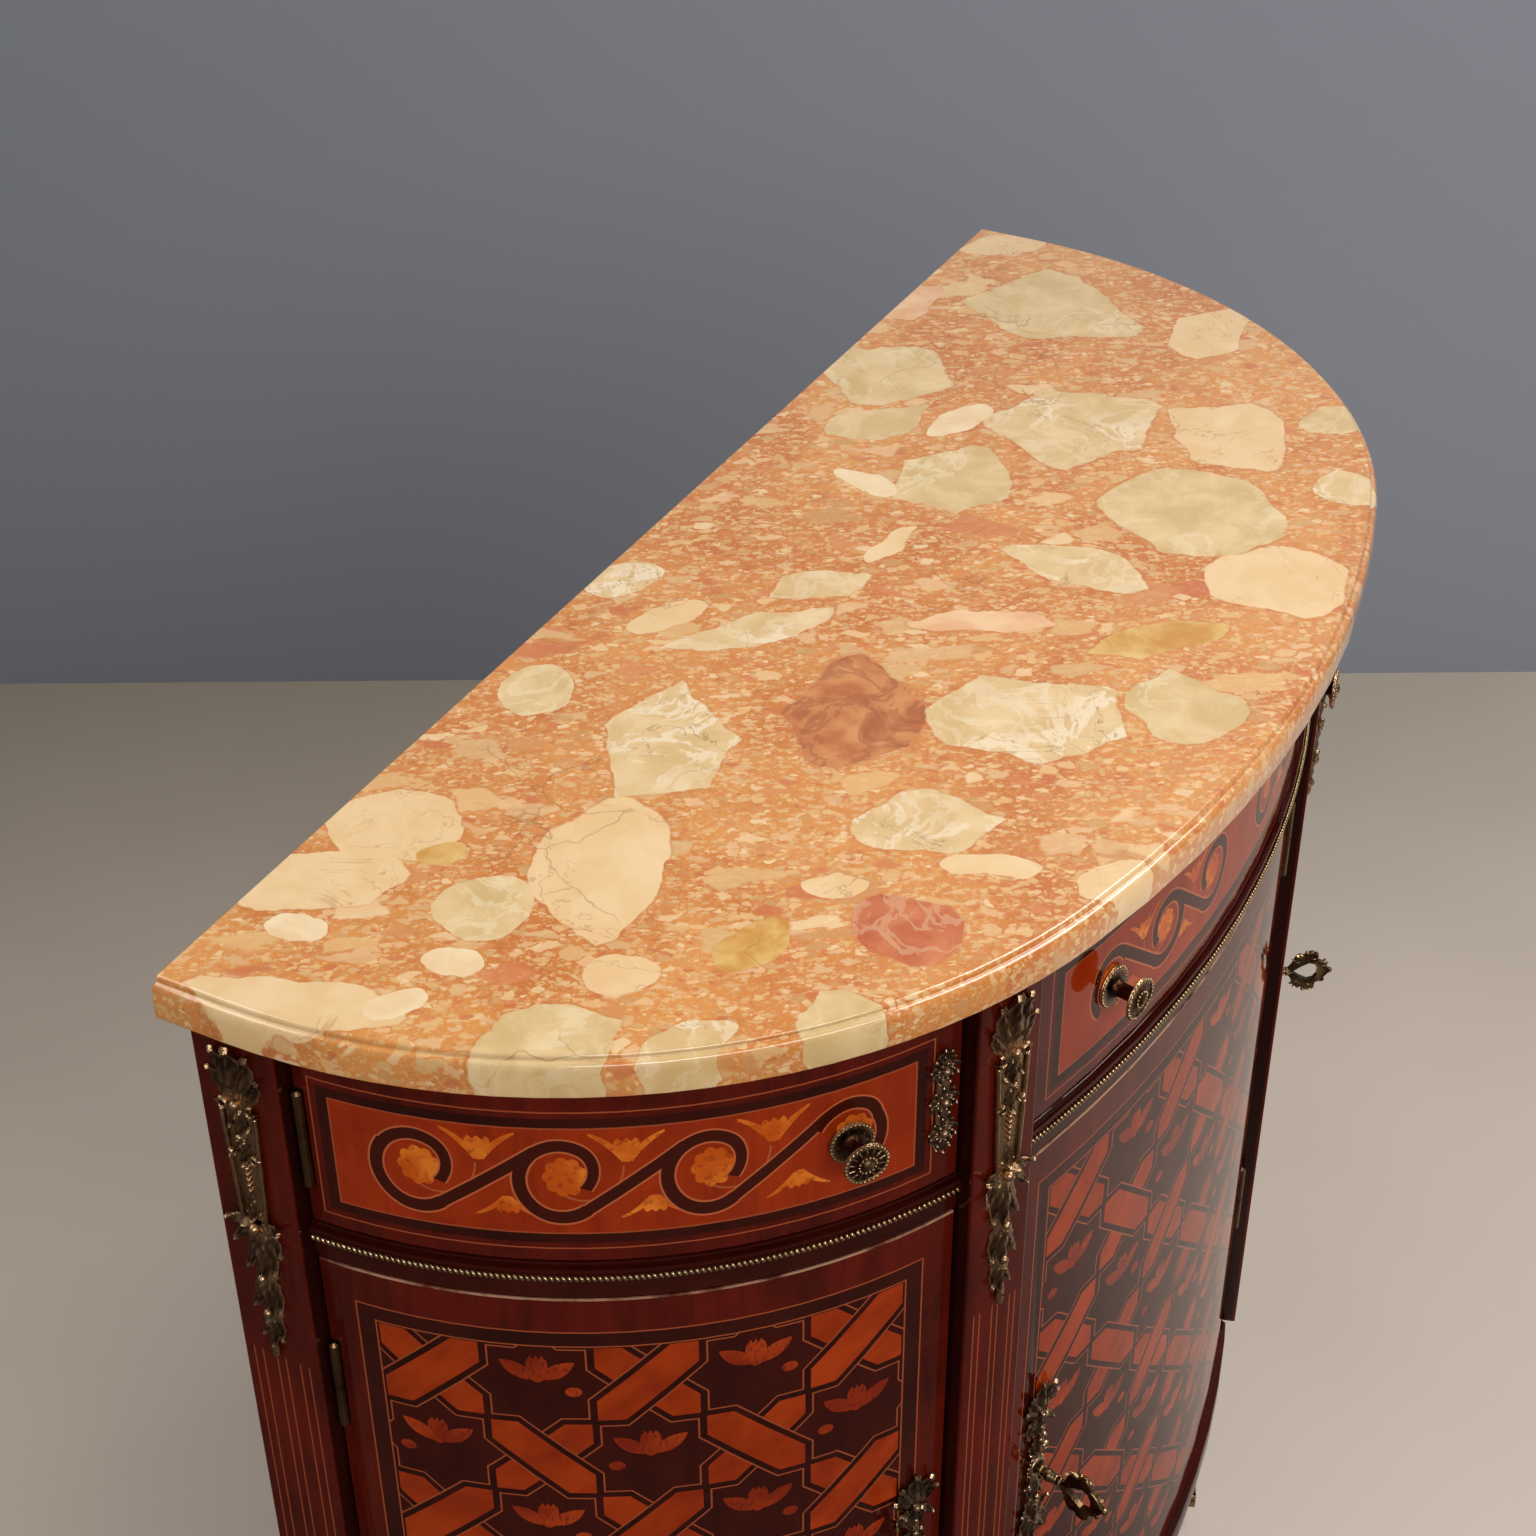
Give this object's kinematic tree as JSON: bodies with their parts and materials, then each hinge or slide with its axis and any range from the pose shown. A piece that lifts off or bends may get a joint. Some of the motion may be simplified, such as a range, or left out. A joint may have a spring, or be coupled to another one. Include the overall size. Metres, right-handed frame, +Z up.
{
  "type": "demilune sideboard",
  "caption": "Half-round cabinet on tapered legs with a marble top, curved lockable doors, a bowed drawer and hinged frieze leaves, with bronze fittings.",
  "frame": {"origin": "on the floor, under the middle of the overall width and depth", "axes": "+X to the right seen from the front, -Y towards the front, +Z up"},
  "size_m": [0.91, 0.383, 0.944],
  "materials": {
    "marble": "polished brecciated marble, salmon and cream",
    "mahogany": "french polished, high gloss, dark red brown",
    "marquetry": "french polished inlay of red and orange veneers with light stringing",
    "bronze": "dark antique patina, bright on the high points",
    "hinge_brass": "aged brass",
    "key_bronze": "dark bronze, worn bright",
    "oak": "plain oiled secondary wood"
  },
  "bodies": {
    "carcass": {"marble_top": "marble", "top_board": "mahogany", "mid_board": "mahogany", "base_board": "mahogany", "back_panel": "oak", "partition_lower_left": "oak", "partition_lower_right": "oak", "partition_upper_left": "oak", "partition_upper_right": "oak", "shelf_left": "oak", "shelf_centre": "oak", "shelf_right": "oak", "stile_front_left": "mahogany", "shoe_front_left": "bronze", "mount_front_left": "bronze", "stile_front_right": "mahogany", "shoe_front_right": "bronze", "mount_front_right": "bronze", "stile_back_left": "mahogany", "shoe_back_left": "bronze", "mount_back_left": "bronze", "stile_back_right": "mahogany", "shoe_back_right": "bronze", "mount_back_right": "bronze", "bead_left": "bronze", "bead_centre": "bronze", "bead_right": "bronze", "hinge_left_upper": "hinge_brass", "hinge_left_lower": "hinge_brass", "hinge_centre_upper": "hinge_brass", "hinge_centre_lower": "hinge_brass", "hinge_right_upper": "hinge_brass", "hinge_right_lower": "hinge_brass", "hinge_frieze_left": "hinge_brass", "hinge_frieze_right": "hinge_brass"},
    "door_left": {"door_left": "marquetry", "escutcheon_left": "bronze"},
    "key_left": {"key_left": "key_bronze"},
    "bolt_left": {"bolt_left": "hinge_brass"},
    "door_centre": {"door_centre": "marquetry", "escutcheon_centre": "bronze"},
    "key_centre": {"key_centre": "key_bronze"},
    "bolt_centre": {"bolt_centre": "hinge_brass"},
    "door_right": {"door_right": "marquetry", "escutcheon_right": "bronze"},
    "key_right": {"key_right": "key_bronze"},
    "bolt_right": {"bolt_right": "hinge_brass"},
    "frieze_left": {"frieze_leaf_left": "marquetry", "knob_frieze_left": "bronze", "escutcheon_frieze_left": "bronze"},
    "frieze_right": {"frieze_leaf_right": "marquetry", "knob_frieze_right": "bronze", "escutcheon_frieze_right": "bronze"},
    "drawer": {"drawer_front": "marquetry", "drawer_side_left": "oak", "drawer_side_right": "oak", "drawer_back": "oak", "drawer_bottom": "oak", "knob_drawer_left": "bronze", "knob_drawer_right": "bronze"}
  },
  "joints": [
    {"name": "door_left_hinge", "type": "hinge", "parent": "carcass", "child": "door_left", "pos_m": [-0.42897, 0.13981, 0.5], "axis": [0, 0, -1], "range_deg": [0, 100]},
    {"name": "door_centre_hinge", "type": "hinge", "parent": "carcass", "child": "door_centre", "pos_m": [0.21972, -0.13339, 0.5], "axis": [0, 0, 1], "range_deg": [0, 100]},
    {"name": "door_right_hinge", "type": "hinge", "parent": "carcass", "child": "door_right", "pos_m": [0.42897, 0.13981, 0.5], "axis": [0, 0, 1], "range_deg": [0, 100]},
    {"name": "frieze_left_hinge", "type": "hinge", "parent": "carcass", "child": "frieze_left", "pos_m": [-0.42897, 0.13981, 0.85], "axis": [0, 0, -1], "range_deg": [0, 100]},
    {"name": "frieze_right_hinge", "type": "hinge", "parent": "carcass", "child": "frieze_right", "pos_m": [0.42897, 0.13981, 0.85], "axis": [0, 0, 1], "range_deg": [0, 100]},
    {"name": "drawer_slide", "type": "slide", "parent": "carcass", "child": "drawer", "axis": [0, -1, 0], "range_m": [0, 0.19]},
    {"name": "key_left_turn", "type": "hinge", "parent": "door_left", "child": "key_left", "pos_m": [-0.27666, -0.10687, 0.521], "axis": [0.4999, 0.8661, 0], "range_deg": [0, 360]},
    {"name": "bolt_left_slide", "type": "slide", "parent": "door_left", "child": "bolt_left", "axis": [0.8963, -0.4435, 0], "range_m": [0, 0.008]},
    {"name": "key_centre_turn", "type": "hinge", "parent": "door_centre", "child": "key_centre", "pos_m": [-0.18803, -0.14131, 0.521], "axis": [-0.2471, -0.969, 0], "range_deg": [0, 360]},
    {"name": "bolt_centre_slide", "type": "slide", "parent": "door_centre", "child": "bolt_centre", "axis": [-0.9485, 0.3168, 0], "range_m": [0, 0.008]},
    {"name": "key_right_turn", "type": "hinge", "parent": "door_right", "child": "key_right", "pos_m": [0.27666, -0.10687, 0.521], "axis": [0.4999, -0.8661, 0], "range_deg": [0, 360]},
    {"name": "bolt_right_slide", "type": "slide", "parent": "door_right", "child": "bolt_right", "axis": [-0.8963, -0.4435, 0], "range_m": [0, 0.008]}
  ],
  "couplings": [
    {"joint": "bolt_left_slide", "follows": "key_left_turn", "m_per_rad": 0.001273},
    {"joint": "bolt_centre_slide", "follows": "key_centre_turn", "m_per_rad": 0.001273},
    {"joint": "bolt_right_slide", "follows": "key_right_turn", "m_per_rad": 0.001273}
  ]
}
